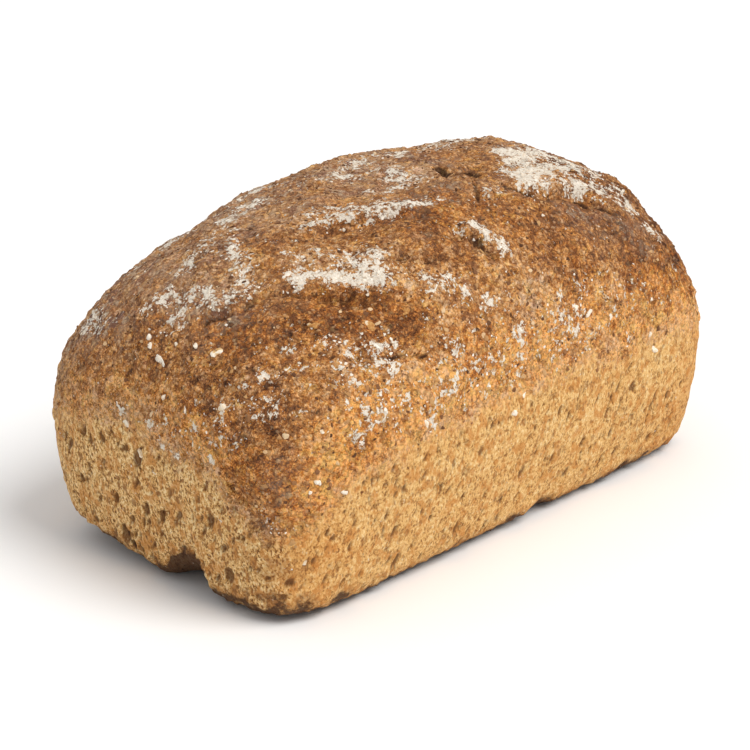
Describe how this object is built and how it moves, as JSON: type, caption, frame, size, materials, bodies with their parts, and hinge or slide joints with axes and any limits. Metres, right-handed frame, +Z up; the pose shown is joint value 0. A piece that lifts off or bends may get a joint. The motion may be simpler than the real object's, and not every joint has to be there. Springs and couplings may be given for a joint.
{
  "type": "spelt tin loaf",
  "caption": "Whole tin-baked spelt loaf with straight tin sides, a domed folded crust, flour dusting and a worn base edge; rests on its flat base.",
  "frame": {"origin": "centre of the loaf's footprint box, on the table plane that its base rests on", "axes": "+X along the loaf from the notched end to the far end, +Y across it from the shown long side to the hidden one, +Z up"},
  "size_m": [0.2104, 0.1268, 0.1071],
  "materials": {
    "crust": "dry browned bread crust with flour dusting, matte and porous"
  },
  "bodies": {
    "root": {"loaf": "crust"}
  },
  "joints": []
}
